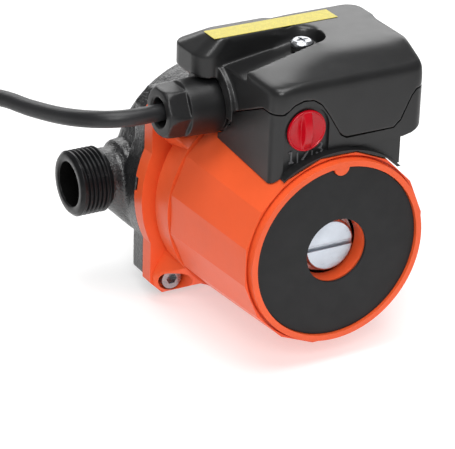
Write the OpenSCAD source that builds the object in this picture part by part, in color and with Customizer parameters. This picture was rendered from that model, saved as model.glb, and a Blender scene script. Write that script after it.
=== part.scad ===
// Wet-rotor circulator pump for a 1/2 inch heating or hot water pipe, with its terminal box and mains lead.
// Origin: where the pipe axis crosses the shaft axis. +X runs along the pipe, -Y points out of the
// nameplate and +Z points up through the terminal box. All sizes are in millimetres.

/* [Pipe ports] */
// Distance between the two port faces
port_span = 130; // [128:1:134]
// Outside radius of the G 3/4 port thread
thread_r = 13.22; // [13:0.01:13.3]
// Length of the port thread
thread_len = 12; // [10:1:13]
// Radius of the waterway bore in a port
port_bore_r = 9; // [8:0.1:9.5]

/* [Pump end] */
// Radius of the round volute drum
volute_r = 42.5; // [42:0.5:43.5]
// Radius of the round part of the flanges
flange_r = 46; // [45:0.5:46.5]
// Half width of the square that carries the four ears
ear_half = 41.5; // [41:0.5:42.5]
// Distance of each flange screw from the vertical and horizontal centre planes
screw_offset = 34.5; // [34:0.1:35]

/* [Motor] */
// Radius over the corners of the faceted motor body at its rear
body_rear_r = 42.2; // [42:0.1:42.5]
// Radius over the corners of the faceted motor body at its nose
body_nose_r = 39; // [38.8:0.1:39.5]
// Number of flats round the motor body
body_flats = 16; // [16:16]
// Radius of the nameplate
nameplate_r = 34.5; // [33:0.1:34.6]
// Radius of the slotted vent plug head
vent_head_r = 10.5; // [9:0.1:11]
// Radius of the rotor shaft
shaft_r = 4; // [3.5:0.1:4]

/* [Terminal box] */
// Left side of the box
box_left = -26; // [-27:0.5:-25]
// Right side of the box
box_right = 39.2; // [38:0.1:39.5]
// Height of the flat top of the cover above the shaft axis
box_top = 73.7; // [73:0.1:75]
// Wall thickness of the plastic box
box_wall = 2.2; // [1.8:0.1:2.4]
// Radius of the speed knob
knob_r = 8; // [7:0.1:8.2]

/* [Mains lead] */
// Radius of the mains lead
cord_r = 3.3; // [3:0.1:3.5]

/* [Hidden] */
$fn = 96;

// Stations along the shaft, front to rear (the nameplate end is negative)
nose_rim_y = -97.5;
nose_face_y = -94.5;
body_rear_y = -41.6;
band_rear_y = -30.5;
plate_front_y = -26.5;
joint_y = -20;
flange_rear_y = -10;

// Speed control, cover screw and cable gland places
knob_x = -12.5;
knob_z = 49.6;
box_front = -91.5;
box_back = -28;
cover_screw_at = [2.5, -60.7];
channel_floor_z = 67.6;
gland_y = -46;
gland_z = 46;
gland_wall_x = -22;
gland_end_x = -50;

// Surface that the lead lies on: the lowest point of the motor's round flange
plate_r = flange_r + 0.2;
ground_z = -plate_r;

steel = [0.75, 0.75, 0.77];
black_iron = [0.16, 0.16, 0.17];
black_plastic = [0.12, 0.12, 0.12];
motor_orange = [0.86, 0.27, 0.12];
red = [0.75, 0.02, 0.06];

// ---- helpers ----

// Solid rod along the shaft direction from y0 to y1
module rod_y(y0, y1, r, at = [0, 0]) {
    translate([at[0], y0, at[1]]) rotate([-90, 0, 0]) cylinder(h = y1 - y0, r = r);
}

// Solid rod along the pipe direction from x0 to x1
module rod_x(x0, x1, r, at = [0, 0]) {
    translate([x0, at[0], at[1]]) rotate([0, 90, 0]) cylinder(h = x1 - x0, r = r);
}

// Turned ring along the shaft direction
module ring_y(y0, y1, r_in, r_out) {
    difference() {
        rod_y(y0, y1, r_out);
        rod_y(y0 - 1, y1 + 1, r_in);
    }
}

// Body turned about the shaft axis from [radius, y] points
module turned_y(points) {
    rotate([-90, 0, 0]) rotate_extrude() polygon(points);
}

// Body turned about an axis along X through at = [y, z], from [radius, x] points
module turned_x(points, at = [0, 0]) {
    translate([0, at[0], at[1]]) rotate([0, 90, 0]) rotate_extrude() polygon(points);
}

// Axis-aligned block from two opposite corners
module block(low, high) {
    translate(low) cube(high - low);
}

// Plate with rounded vertical corners from two opposite corners
module rounded_slab(low, high, r) {
    hull() {
        for (x = [low[0] + r, high[0] - r], y = [low[1] + r, high[1] - r]) {
            translate([x, y, low[2]]) cylinder(h = high[2] - low[2], r = r, $fn = 32);
        }
    }
}

// Corners of the regular polygon that the motor body follows, flats at top and bottom
function flats_outline(r) = [for (k = [0 : body_flats - 1])
    let (a = (k + 0.5) * 360 / body_flats) [r * cos(a), r * sin(a)]];

// Thin slice of the faceted body
module flats_slice(y, r) {
    translate([0, y, 0]) rotate([90, 0, 0]) linear_extrude(0.01) polygon(flats_outline(r));
}

// Tapered faceted body, grown outward by extra
module flats_body(extra = 0) {
    hull() {
        flats_slice(body_rear_y, body_rear_r + extra);
        flats_slice(nose_face_y - (extra > 0 ? 5 : 0), body_nose_r + extra);
    }
}

// Round flange with four ears, as an outline with chamfered corners
module flange_plate(y0, y1, r, half, chamfer) {
    rod_y(y0, y1, r);
    translate([0, y1, 0]) rotate([90, 0, 0]) linear_extrude(y1 - y0) polygon([
        for (k = [0 : 3], e = [0, 1])
            let (a = 90 * k, u = e == 0 ? half : half - chamfer, v = e == 0 ? half - chamfer : half)
            [u * cos(a) - v * sin(a), u * sin(a) + v * cos(a)]]);
}

// Calls its children at the four flange screw places
module at_flange_screws() {
    for (x = [-1, 1], z = [-1, 1]) translate([x * screw_offset, 0, z * screw_offset]) children();
}

// ---- lead routes ----

// Free stretch of the lead, from the gland to where it joins the coil
lead_route = [[-17, -46, 46], [-30, -46, 46], [-42, -46, 46], [-52, -46, 46], [-59, -46, 46],
    [-66, -44.5, 45.8], [-72, -40, 45], [-76.5, -31.5, 43], [-79.5, -19, 40], [-82.5, -1, 36.5],
    [-85.2, 13, 34.8], [-88.6, 23.4, 32.2], [-94.6, 32.2, 24.8], [-102.4, 38.2, 12.6],
    [-111.5, 41.4, -2.6], [-121, 42.2, -17.6], [-130.5, 42.2, -30.4], [-140.5, 41.7, -39.6],
    [-152.8, 40.7, -42.9]];

// Coil of the put-away length, lying on the ground to the left
coil_centre = [-152.8, -3];
coil_outer_r = 43.7;
coil_pitch = 6.8;
coil_turns = 2.6;
coil_inner = coil_outer_r - coil_pitch * coil_turns - cord_r;
coil_outer = coil_outer_r + cord_r + 1;

// Short free stretch from the coil to the plug
plug_at = [-193, -38.3, -36.7];
plug_turn = -78;
tail_route = [[-194.5, -18.2, -36.3], [-193.9, -28.2, -36.5], plug_at];

function unit(v) = v / norm(v);
function tangent(path, i) = unit(path[min(i + 1, len(path) - 1)] - path[max(i - 1, 0)]);

// Ring of points round one place on a route, square to it
function ring_points(p, t, r, sides) =
    let (side = unit(cross(t, [0, 0, 1])), up = cross(side, t))
    [for (k = [0 : sides - 1]) p + r * (cos(360 * k / sides) * side + sin(360 * k / sides) * up)];

// Tube swept along a route
module tube(path, r, sides = 10) {
    last = len(path) - 1;
    points = [for (i = [0 : last]) each ring_points(path[i], tangent(path, i), r, sides)];
    walls = [for (i = [0 : last - 1], k = [0 : sides - 1], half = [0, 1])
        let (a = i * sides + k, b = i * sides + (k + 1) % sides)
        half == 0 ? [a, b, b + sides] : [a, b + sides, a + sides]];
    caps = [[for (k = [sides - 1 : -1 : 0]) k], [for (k = [0 : sides - 1]) last * sides + k]];
    polyhedron(points, concat(walls, caps));
}

// ---- pump end ----

// Cast-iron volute casing with two threaded ports
module pump_casing() {
    chamber_r = 32;
    wall_y = -4;
    drum_edge_y = 2.5;
    drum_round = 12;
    color(black_iron) difference() {
        union() {
            flange_plate(joint_y, flange_rear_y, flange_r, ear_half, 6);
            turned_y([[0, flange_rear_y - 1], [volute_r, flange_rear_y - 1], [volute_r, drum_edge_y],
                for (a = [0 : 15 : 90])
                    [volute_r - drum_round + drum_round * cos(a), drum_edge_y + drum_round * sin(a)],
                [0, drum_edge_y + drum_round]]);
            for (side = [-1, 1]) scale([side, 1, side]) port_arm();
        }
        rod_y(joint_y - 1, joint_y + 0.8, 35);
        rod_y(joint_y, wall_y, chamber_r);
        rod_y(wall_y - 1, wall_y + 4, 12.5);
        rod_y(-1, 11.5, 17);
        rod_x(-port_span / 2 - 1, -44, port_bore_r);
        rod_x(44, port_span / 2 + 1, port_bore_r);
        waterway([-44, 0], port_bore_r, [-14, 5.3], 6.2);
        waterway([44, 0], port_bore_r, [24, -11], 6.5);
        at_flange_screws() rod_y(joint_y - 1, flange_rear_y + 1, 2.55);
    }
}

// One port on the left: thread, neck and the swelling where the waterway turns down into the casing
module port_arm() {
    face = port_span / 2;
    turned_x([[0, -face], [thread_r - 1.2, -face], [thread_r, -face + 1.2], [thread_r, -face + thread_len],
        [11.8, -face + thread_len + 1.2], [11.5, -face + 17],
        for (a = [0 : 15 : 60]) [11.5 + 5 * (1 - cos(a)), -face + 17 + 5 * sin(a)],
        [15, -33], [15, -20], [0, -20]]);
    hull() {
        rod_x(-50, -48, 11.8);
        translate([-30, -2, -12.8]) sphere(r = 13.5, $fn = 32);
    }
}

// Passage between a port bore and the inside of the volute, running from x, y to x, y
module waterway(from, r_from, to, r_to) {
    hull() {
        translate([from[0], from[1], 0]) rotate([0, 90, 0])
            cylinder(h = 0.1, r = r_from, center = true, $fn = 32);
        translate([to[0], to[1], 0]) rotate([0, 90, 0])
            cylinder(h = 0.1, r = r_to, center = true, $fn = 32);
    }
}

// Wear ring round the impeller eye
module neck_ring() {
    color([0.72, 0.6, 0.35]) ring_y(-4, -1.2, 10.85, 12.45);
}

// Flat gasket between the bearing plate and the casing
module casing_gasket() {
    color([0.1, 0.1, 0.1]) ring_y(-21.2, -19.25, 32.2, 34.6);
}

// Stainless plate that closes the wet side and carries the pump-side bearing
module bearing_plate() {
    color(steel) difference() {
        union() {
            rod_y(-23.1, -21.3, 34.5);
            rod_y(-31, -18.6, 9.5);
        }
        rod_y(-32, -18, 7.02);
    }
}

// Stainless can that keeps the water out of the stator, with the bearing and vent boss in its nose
module rotor_can() {
    color(steel) difference() {
        union() {
            rod_y(-24, -23.2, 34.5);
            rod_y(-77, -23.5, 20.4);
            rod_y(-86.8, -76, 12.4);
        }
        difference() {
            rod_y(-76, -22, 19.9);
            ring_y(-77, -68, 7.02, 9.5);
        }
        rod_y(-79, -60, 7.02);
        rod_y(-88, -78.5, 8.2);
    }
}

// Carbon sleeve bearing
module bearing(y0, y1) {
    ring_y(y0, y1, shaft_r + 0.05, 7);
}

module front_bearing() {
    color([0.2, 0.2, 0.22]) bearing(-78.4, -68.5);
}

module rear_bearing() {
    color([0.2, 0.2, 0.22]) bearing(-31, -18.8);
}

// Ceramic shaft that carries the rotor core and the impeller
module shaft() {
    color([0.9, 0.9, 0.88]) turned_y([[0, -77.8], [shaft_r - 0.4, -77.8], [shaft_r, -77.4], [shaft_r, -7],
        [shaft_r - 0.5, -6.5], [0, -6.5]]);
}

// Squirrel-cage core in its sleeve, pressed on the shaft
module rotor_core() {
    color([0.55, 0.57, 0.6]) difference() {
        turned_y([[shaft_r, -66], [17, -66], [17, -64.5], [19.5, -64.5], [19.5, -34.5], [17, -34.5],
            [17, -33], [shaft_r, -33]]);
        for (k = [0 : 11]) rotate([0, 30 * k, 0]) rod_y(-67, -64, 1.2, [14, 0]);
    }
}

// Ceramic washer that takes the axial thrust of the rotor
module thrust_washer() {
    color([0.85, 0.83, 0.78]) ring_y(-32.9, -31.5, shaft_r, 8);
}

// Closed impeller with six swept-back vanes and an eye neck that runs in the wear ring
module impeller() {
    impeller_r = 27;
    color([0.25, 0.25, 0.27]) difference() {
        union() {
            rod_y(-17.8, -15.8, impeller_r);
            rod_y(-17.8, -8.5, 7);
            turned_y([[8, -9.5], [impeller_r, -9.5], [impeller_r, -8], [10.4, -8], [10.4, -1.2], [9, -1.2],
                [9, -8]]);
            for (k = [0 : 5]) rotate([0, 60 * k, 0]) vane(6, impeller_r - 0.5);
        }
        rod_y(-19, -5, shaft_r);
    }
}

// One swept vane between two radii
module vane(r0, r1) {
    steps = 8;
    function spot(i, turn) = let (f = i / steps, r = r0 + (r1 - r0) * f, a = 60 * f + turn)
        [r * cos(a), r * sin(a)];
    translate([0, -9.4, 0]) rotate([90, 0, 0]) linear_extrude(6.5) polygon([
        for (i = [0 : steps]) spot(i, 0),
        for (i = [steps : -1 : 0]) spot(i, 3 + 8 * (1 - i / steps))]);
}

// ---- motor ----

// Die-cast motor housing: square flange, groove, round band and sixteen-sided body
module motor_housing() {
    color(motor_orange) difference() {
        union() {
            flange_plate(plate_front_y, joint_y, plate_r, ear_half + 0.5, 5.4);
            rod_y(band_rear_y, plate_front_y, 39);
            rod_y(-40.8, band_rear_y, 42.4);
            rod_y(body_rear_y, -40.8, 40.2);
            flats_body();
            ring_y(nose_rim_y, nose_face_y, nameplate_r + 0.2, 37);
            corner_webs();
        }
        rod_y(-88, -24, 33.05);
        rod_y(-24.2, joint_y + 1, 34.7);
        block([-50, -22.2, 2], [-44.2, joint_y + 1, 8]);
        rod_y(nose_face_y - 5, -95.1, nameplate_r + 0.2);
        rod_y(nose_rim_y - 1, -80, 12.8);
        ring_y(nose_face_y - 4, nose_face_y + 2.2, 37, 37.9);
        at_flange_screws() {
            rod_y(-60, -25.5, 5.4);
            rod_y(-26, joint_y + 1, 2.75);
        }
    }
    // Small lug on the rim that keys the nameplate
    color(motor_orange) translate([0, -96.3, nameplate_r + 0.2]) intersection() {
        rod_y(-1, 1, 3.2);
        block([-4, -1.2, -4], [4, 1.2, 0.6]);
    }
}

// Webs that run from the ears up to the round band
module corner_webs() {
    for (k = [0 : 3]) rotate([0, 45 + 90 * k, 0]) hull() {
        rod_y(-27.6, plate_front_y + 0.1, 6.6, [screw_offset * sqrt(2), 0]);
        block([38, -27.6, -8.5], [43, plate_front_y + 0.1, 8.5]);
        block([37, -40.5, -6], [41.8, -39, 6]);
    }
}

// Laminated core with twelve slots
module stator_core() {
    color([0.5, 0.5, 0.52]) difference() {
        ring_y(-70, -34, 20.7, 33);
        for (k = [0 : 11]) rotate([0, 30 * k, 0]) block([20, -71, -0.9], [23, -33, 0.9]);
        for (k = [0 : 11]) rotate([0, 30 * k, 0]) block([22.5, -71, -2.6], [29, -33, 2.6]);
    }
}

// Copper coil heads at both ends of the core, joined by the bars that fill its slots
module stator_windings() {
    color([0.72, 0.4, 0.2]) {
        for (y = [-78, -33.8]) turned_y([[22, y + 1], [23, y], [28, y], [29.8, y + 2], [29.8, y + 6],
            [28.5, y + 7.8], [22.5, y + 7.8], [22, y + 7]]);
        for (k = [0 : 11]) rotate([0, 30 * k, 0]) block([22.8, -71, -2.3], [28.7, -33, 2.3]);
    }
}

// Four M5 socket head screws that clamp the motor to the casing
module flange_screws() {
    color(steel) at_flange_screws() difference() {
        union() {
            rod_y(-30.6, -25.5, 4.25);
            rod_y(-26, -10.6, 2.5);
        }
        translate([0, -28, 0]) rotate([90, 0, 0]) cylinder(h = 4, r = 2.3, $fn = 6);
    }
}

// Blank round plate on the motor's nose
module nameplate() {
    color([0.2, 0.2, 0.21]) difference() {
        rod_y(-96.3, -95.1, nameplate_r);
        rod_y(-98, -94, 12.9);
        rod_y(-98, -94, 3.4, [0, nameplate_r + 0.2]);
    }
}

// Slotted plug that is opened to vent air and to free the rotor
module vent_plug() {
    color(steel) difference() {
        union() {
            turned_y([[0, -91.3], [vent_head_r - 0.7, -91.3], [vent_head_r, -90.6], [vent_head_r, -88.5],
                [0, -88.5]]);
            rod_y(-89, -80, 7.9);
        }
        block([-12, -92, -1], [12, -90, 1]);
    }
}

// Rubber ring under the head of the vent plug
module vent_seal() {
    color([0.08, 0.08, 0.08]) ring_y(-88.2, -86.8, 8.3, 10.3);
}

// ---- terminal box ----

// Front outline of the seam between base and cover, in X and Z
seam_points = [[box_left - 2, 57], [-22, 57.2], [-18, 60.2], [-14, 61.4], [-10, 61], [-6.5, 58.6],
    [-3, 53.6], [2.2, 45], [4.8, 43.4], [25.5, 43.6], [28.5, 46.2], [33, 55.4], [35, 57.6],
    [box_right + 2, 58]];

// Space below the seam: the front outline, cut down toward the rear as far as the gland
module below_seam(drop = 0) {
    intersection() {
        translate([0, 0, -drop]) translate([0, box_back + 10, 0]) rotate([90, 0, 0])
            linear_extrude(box_back - box_front + 20) polygon(concat(seam_points,
                [[box_right + 2, 20], [box_left - 2, 20]]));
        translate([box_left - 3, 0, -drop]) rotate([90, 0, 90]) linear_extrude(box_right - box_left + 6)
            polygon([[box_front - 2, 15], [box_front - 2, 62.3], [-59, 46.6], [box_back + 12, 46.6],
                [box_back + 12, 15]]);
    }
}

// Room for the motor body, the round band and the upper right screw under the box
module saddle() {
    flats_body(extra = 0.3);
    rod_y(-42, -20, 42.7);
    rod_y(-45, -20, 9.4, [screw_offset, screw_offset]);
    rotate([0, -45, 0]) block([36, -42, -9.2], [43.9, -20, 9.2]);
}

// Thin lip at the foot of the base's front that laps over the nose of the motor
module front_lip() {
    intersection() {
        rod_y(nose_face_y + 0.1, box_front + 1.5, 40);
        block([-23, nose_face_y, 28.8], [29.3, box_front + 2, 42]);
    }
}

// Black base of the terminal box, saddled on the motor
module terminal_box_base() {
    color(black_plastic) difference() {
        union() {
            front_lip();
            difference() {
                intersection() {
                    box_front_prism();
                    below_seam();
                    rounded_slab([box_left, box_front, 20], [box_right, box_back, 70], 5);
                }
                knob_recess();
            }
            gland_wall(12.4);
            cover_post();
            intersection() {
                at_box_screws() box_boss();
                block([-17, -74, 36], [19, box_back - 1, 50]);
            }
        }
        saddle();
        difference() {
            base_cavity();
            cover_post();
            gland_boss();
            at_box_screws() box_boss();
        }
        rod_x(-30, -14, 7.05, [gland_y, gland_z]);
        translate([cover_screw_at[0], cover_screw_at[1], 48]) cylinder(h = 30, r = 2.35);
        rod_y(box_front - 3, box_front + 5, 2.8, [knob_x, knob_z]);
        at_box_screws() translate([0, 0, 20]) cylinder(h = 40, r = 1.8);
    }
}

// Outline of the base seen from the front: skirt down the left, ledge on the right
module box_front_prism() {
    difference() {
        translate([0, box_back, 0]) rotate([90, 0, 0]) linear_extrude(box_back - box_front) polygon([
            [box_left, 28.8], [29.3, 28.4], [29.3, 39.4], [33.5, 40.3], [38.2, 42.6],
            [box_right, 58], [box_right, 66], [box_left, 66]]);
        block([box_left - 1, -58.6, 41], [gland_wall_x, box_back + 1, 70]);
        block([box_left - 1, -49, 20], [gland_wall_x, box_back + 1, 42]);
        rod_x(box_left - 1, gland_wall_x, 11.8, [gland_y, gland_z]);
        block([knob_x + 9.6, box_front - 1, 20], [box_right, box_front + 0.8, 39.5]);
    }
}

// Round-topped wall that carries the cable gland
module gland_wall(r) {
    intersection() {
        union() {
            rod_x(gland_wall_x, gland_wall_x + box_wall, r, [gland_y, gland_z]);
            block([gland_wall_x, gland_y - r, 34], [gland_wall_x + box_wall, gland_y + r, gland_z]);
        }
        block([gland_wall_x, box_front, 34], [gland_wall_x + 10, box_back, 70]);
    }
}

// Boss in the floor of the base under the head of one of its screws
module box_boss() {
    translate([0, 0, 38]) cylinder(h = 6.25, r = 3.6);
}

// Thickened wall round the gland's thread
module gland_boss() {
    rod_x(gland_wall_x, -16, 9.2, [gland_y, gland_z]);
}

// Post in the base that the cover screw bites into
module cover_post() {
    translate([cover_screw_at[0], cover_screw_at[1], 41]) cylinder(h = 23.2, r = 4.2);
}

// Inside of the base, with a floor that follows the motor body
module base_cavity() {
    difference() {
        union() {
            block([gland_wall_x + box_wall, box_front + box_wall, 40], [27.1, box_back - box_wall, 70]);
            block([20, box_front + box_wall, 44.6], [box_right - box_wall, box_back - box_wall, 70]);
        }
        rotate([-90, 0, 0]) translate([0, 0, nose_face_y - 1]) cylinder(h = 53.5, r1 = 41.6, r2 = 44.4);
        rod_y(body_rear_y - 1, box_back + 1, 44.9);
    }
}

// Arched recess on the front that carries the speed knob
module knob_recess() {
    recess_r = 9.6;
    rod_y(box_front - 1, box_front + 1.2, recess_r, [knob_x, knob_z]);
    block([knob_x - recess_r, box_front - 1, 33], [knob_x + recess_r, box_front + 1.2, knob_z]);
}

// Outer shape of the cover: a box with sloped front, left and rear shoulders, and a lobe at the rear left
module cover_shape(inset = 0) {
    top = box_top - inset;
    hull() {
        rounded_slab([box_left + inset, box_front + inset, 24],
            [box_right - inset, box_back - inset, 66.8 - inset], 5 - inset);
        rounded_slab([4 + inset, -80.5 + inset, top - 1], [38.2 - inset, -40, top], 6 - inset);
    }
    hull() {
        rounded_slab([-36 + inset, -52 + inset, 58.4 - inset], [0, box_back - inset, 67 - inset], 7 - inset);
        rounded_slab([-29 + inset, -52 + inset, top - 1], [2, -39, top], 5 - inset);
    }
}

// Wide groove across the cover that the screw sits in, falling away to the left
module cover_channel(grow = 0) {
    half = 8.6 + grow;
    fall = 8.8;
    translate([cover_screw_at[0], cover_screw_at[1], channel_floor_z - grow]) {
        cylinder(h = 20, r = half);
        rotate([0, -fall, 0]) block([-45, -half, 0], [0.5, half, 20]);
    }
}

// Arched hood of the cover over the gland
module gland_hood(r, x0) {
    intersection() {
        rod_x(x0, gland_wall_x + 1, r, [gland_y, gland_z]);
        block([x0 - 1, gland_y - 30, gland_z - 1], [gland_wall_x + 2, gland_y + 30, 70]);
    }
}

// Domed cover of the terminal box
module terminal_box_cover() {
    seam_gap = 0.3;
    color(black_plastic) difference() {
        union() {
            difference() {
                cover_shape();
                block([box_left - 20, -58.6, 20], [gland_wall_x, box_back + 1, 58.3]);
            }
            gland_hood(17.8, -28.5);
        }
        below_seam(-seam_gap);
        difference() {
            cover_shape(box_wall);
            cover_channel(box_wall);
        }
        cover_channel();
        rod_x(-40, gland_wall_x + 8, 12.8, [gland_y, gland_z]);
        block([gland_wall_x - 1, gland_y - 12.7, 20], [gland_wall_x + 8, gland_y + 12.7, gland_z + 0.5]);
        translate([cover_screw_at[0], cover_screw_at[1], 60]) cylinder(h = 20, r = 2.3);
    }
}

// Pan head screw that holds the cover
module cover_screw() {
    head_z = channel_floor_z + 2;
    color(steel) translate([cover_screw_at[0], cover_screw_at[1], 0]) difference() {
        union() {
            translate([0, 0, head_z]) cylinder(h = 1.4, r = 4.4);
            translate([0, 0, head_z + 1.4]) cylinder(h = 0.9, r1 = 4.4, r2 = 3.3);
            translate([0, 0, 50]) cylinder(h = head_z - 49.5, r = 2);
        }
        for (a = [0, 90]) rotate([0, 0, a]) block([-2.2, -0.45, head_z + 1.3], [2.2, 0.45, head_z + 3]);
    }
}

// Rubber washer under the cover screw's head
module screw_seal() {
    color([0.07, 0.07, 0.07]) translate([cover_screw_at[0], cover_screw_at[1], channel_floor_z + 0.02])
        difference() {
            cylinder(h = 1.95, r = 4.1);
            translate([0, 0, -1]) cylinder(h = 4, r = 2.1);
        }
}

// Blank yellow sticker along the rear edge of the cover
module cover_label() {
    color([0.8, 0.75, 0.2]) block([-29.5, -50.8, box_top], [24, -42.2, box_top + 0.2]);
}

// Three-position speed knob: a thin disc with an upright grip bar across it
module speed_knob() {
    face = box_front - 1.9;
    grip_half = 1.8;
    color(red) translate([knob_x, 0, knob_z]) difference() {
        union() {
            rod_y(face, box_front + 0.9, knob_r);
            rod_y(box_front + 0.8, box_front + 5, 2.5);
        }
        for (side = [-1, 1]) translate([side * (grip_half + knob_r / 2), face, 0])
            cube([knob_r, 4, 2 * knob_r + 2], center = true);
    }
}

// Rotary switch behind the knob
module speed_switch() {
    color([0.85, 0.85, 0.82]) difference() {
        union() {
            block([knob_x - 7, box_front + 2.4, 45.2], [knob_x + 7, box_front + 17, 57]);
            for (x = [-5, 0, 5])
                block([knob_x + x - 1, box_front + 16, 50], [knob_x + x + 1, box_front + 22, 50.8]);
        }
        rod_y(box_front, box_front + 10, 2.8, [knob_x, knob_z]);
    }
}

// Run capacitor, lying along the rear of the box
module run_capacitor() {
    color([0.92, 0.92, 0.9]) difference() {
        rod_x(0, 33, 9, [-40, 57.6]);
        rod_x(-1, 1, 6.5, [-40, 57.6]);
    }
}

// Three-way terminal block
module terminal_block() {
    color([0.93, 0.93, 0.9]) difference() {
        block([12, -84, 45.4], [34, -74, 57]);
        for (x = [16, 23, 30]) {
            translate([x, -79, 51]) cylinder(h = 10, r = 2.1);
            rod_y(-85, -81.5, 1.8, [x, 49]);
        }
    }
}

// Slotted clamping screws of the terminal block
module terminal_screws() {
    color([0.7, 0.6, 0.3]) for (x = [16, 23, 30]) translate([x, -79, 0]) difference() {
        translate([0, 0, 51]) cylinder(h = 2.5, r = 2.05);
        block([-3, -0.35, 52.7], [3, 0.35, 54]);
    }
}

// Calls its children at the four places where the base is screwed to the motor
module at_box_screws() {
    for (x = [-11, 12], y = [-68, -38]) translate([x, y, 0]) children();
}

// Four screws that hold the base on the motor
module box_screws() {
    head_z = 44.3;
    color(steel) at_box_screws() {
        translate([0, 0, head_z]) cylinder(h = 2, r = 3);
        translate([0, 0, head_z - 6]) cylinder(h = 6.5, r = 1.7);
    }
}

// Stripped cores of the lead, from the gland to the terminal block
module supply_leads() {
    colors = [[0.1, 0.1, 0.1], [0.9, 0.9, 0.9], [0.1, 0.5, 0.15]];
    for (k = [0 : 2]) color(colors[k]) tube([[-17, gland_y, gland_z + 2.2 * (k - 1)],
        [-12, gland_y - 1, gland_z + 0.5 + 2.6 * (k - 1)], [-4, -50.5, 49 + 3 * (k - 1)],
        [8, -53.5, 50 + 3 * (k - 1)], [15 + 4 * k, -61, 50.5 + 2 * (k - 1)], [16 + 7 * k, -69, 50],
        [16 + 7 * k, -73.9, 49.2]], 1, 8);
}

// ---- cable entry and lead ----

// Ribbed gland body screwed into the wall of the base
module gland_body() {
    x0 = gland_wall_x;
    color(black_plastic) difference() {
        turned_x([[0, -16.5], [7, -16.5], [7, x0], [11.4, x0], [11.4, x0 - 1], [10.4, x0 - 1.3],
            [10.4, x0 - 2], [11.4, x0 - 2.3], [11.4, x0 - 3.2], [10.4, x0 - 3.5], [10.4, x0 - 4.2],
            [11, x0 - 4.4], [11, x0 - 5], [7.4, x0 - 5], [7.4, -39], [0, -39]], [gland_y, gland_z]);
        rod_x(-40, -15, 5.6, [gland_y, gland_z]);
        saddle();
    }
}

// Dome nut with a hexagonal end that squeezes the seal on the lead
module gland_nut() {
    rear = gland_wall_x - 5.4;
    color(black_plastic) difference() {
        union() {
            turned_x([[0, rear], [11.3, rear], [11.3, rear - 1], [10.7, -41.2], [9.6, -41.8], [0, -41.8]],
                [gland_y, gland_z]);
            intersection() {
                translate([gland_end_x, gland_y, gland_z]) rotate([0, 90, 0])
                    cylinder(h = 9, r = 11.5, $fn = 6);
                turned_x([[0, gland_end_x], [9.2, gland_end_x], [10.4, -48.4], [10.6, -41], [0, -41]],
                    [gland_y, gland_z]);
            }
        }
        rod_x(-40.5, rear + 1, 7.75, [gland_y, gland_z]);
        turned_x([[0, -51], [6, -51], [5.3, -47], [5.3, -40], [0, -40]], [gland_y, gland_z]);
    }
}

// Rubber sleeve that grips the lead inside the gland
module gland_seal() {
    color([0.1, 0.1, 0.1]) difference() {
        rod_x(-44, -18, 5.2, [gland_y, gland_z]);
        rod_x(-45, -17, cord_r + 0.05, [gland_y, gland_z]);
    }
}

// Free stretch of the lead
module cord_tube() {
    color(black_plastic) tube(lead_route, cord_r);
}

// Outer shape of the coil of lead
module cord_coil() {
    color(black_plastic) translate([coil_centre[0], coil_centre[1], ground_z]) rotate_extrude() polygon([
        [coil_inner, 0.4], [coil_outer, 0.4], [coil_outer, 12.6],
        [coil_outer - 1, 13.4], [coil_inner + 1, 13.4], [coil_inner, 12.6]]);
}

// Last stretch of the lead, from the coil to the plug
module cord_tail() {
    color(black_plastic) tube(tail_route, cord_r);
}

// Strap that holds the turns together
module cord_tie() {
    color([0.1, 0.1, 0.1]) translate([coil_centre[0], coil_centre[1], ground_z]) rotate([0, 0, -62])
        difference() {
            block([coil_inner - 2, -4, 0], [coil_outer + 1.6, 4, 14.6]);
            block([coil_inner - 0.5, -5, 0.35], [coil_outer + 0.2, 5, 13.5]);
        }
}

// Moulded mains plug, drawn along +X from its lead and then laid beside the coil
module plug_body() {
    color(black_plastic) plug_place() {
        rod_x(0, 9, 5);
        rod_x(8, 16, 6.5);
        block([15, -10, -9.5], [38, 10, 9.5]);
        rod_x(37, 40, 8.5);
    }
}

// Two flat blades and a round earth pin
module plug_blades() {
    color([0.8, 0.72, 0.45]) plug_place() {
        for (side = [-1, 1]) block([40, side * 6.35 - 0.75, -0.2], [56, side * 6.35 + 0.75, 6.2]);
        rod_x(40, 57.5, 2.4, [0, -5]);
    }
}

// Lays its children where the plug lies
module plug_place() {
    translate(plug_at) rotate([0, 0, plug_turn]) children();
}

pump_casing();
neck_ring();
casing_gasket();
bearing_plate();
rotor_can();
front_bearing();
rear_bearing();
shaft();
rotor_core();
thrust_washer();
impeller();
motor_housing();
stator_core();
stator_windings();
flange_screws();
nameplate();
vent_plug();
vent_seal();
terminal_box_base();
terminal_box_cover();
cover_screw();
screw_seal();
cover_label();
speed_knob();
speed_switch();
run_capacitor();
terminal_block();
terminal_screws();
box_screws();
supply_leads();
gland_body();
gland_nut();
gland_seal();
cord_tube();
cord_coil();
cord_tail();
cord_tie();
plug_body();
plug_blades();
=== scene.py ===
import math

import bmesh
import bpy
import numpy as np
from mathutils import Matrix, Vector, noise


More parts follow.
